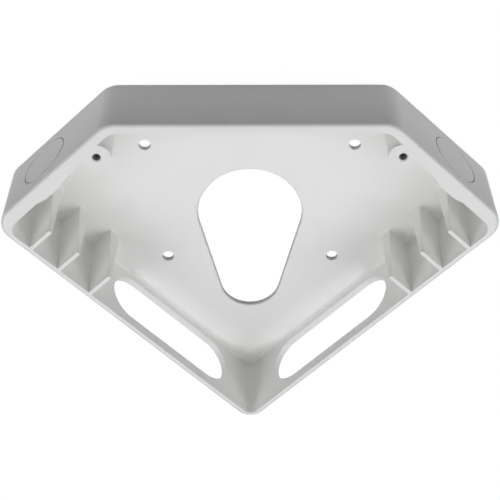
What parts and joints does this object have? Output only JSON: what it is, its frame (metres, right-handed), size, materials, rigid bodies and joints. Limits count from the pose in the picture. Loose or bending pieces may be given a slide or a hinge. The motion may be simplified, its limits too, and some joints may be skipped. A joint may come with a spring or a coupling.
{
  "type": "camera corner bracket",
  "caption": "Cast tray that carries a security camera in a corner of a building, with cable slots, conduit knock-outs and a pear-shaped cable opening.",
  "frame": {"origin": "on the underside, under the middle of the overall outline", "axes": "+X along the front wall, +Y from the front wall towards the corner of the building, +Z from the camera's face towards the open rim"},
  "size_m": [0.2328, 0.1722, 0.038],
  "materials": {
    "powder_coat": "light grey satin powder coat with a fine grain"
  },
  "bodies": {
    "root": {"corner_bracket": "powder_coat"}
  },
  "joints": []
}
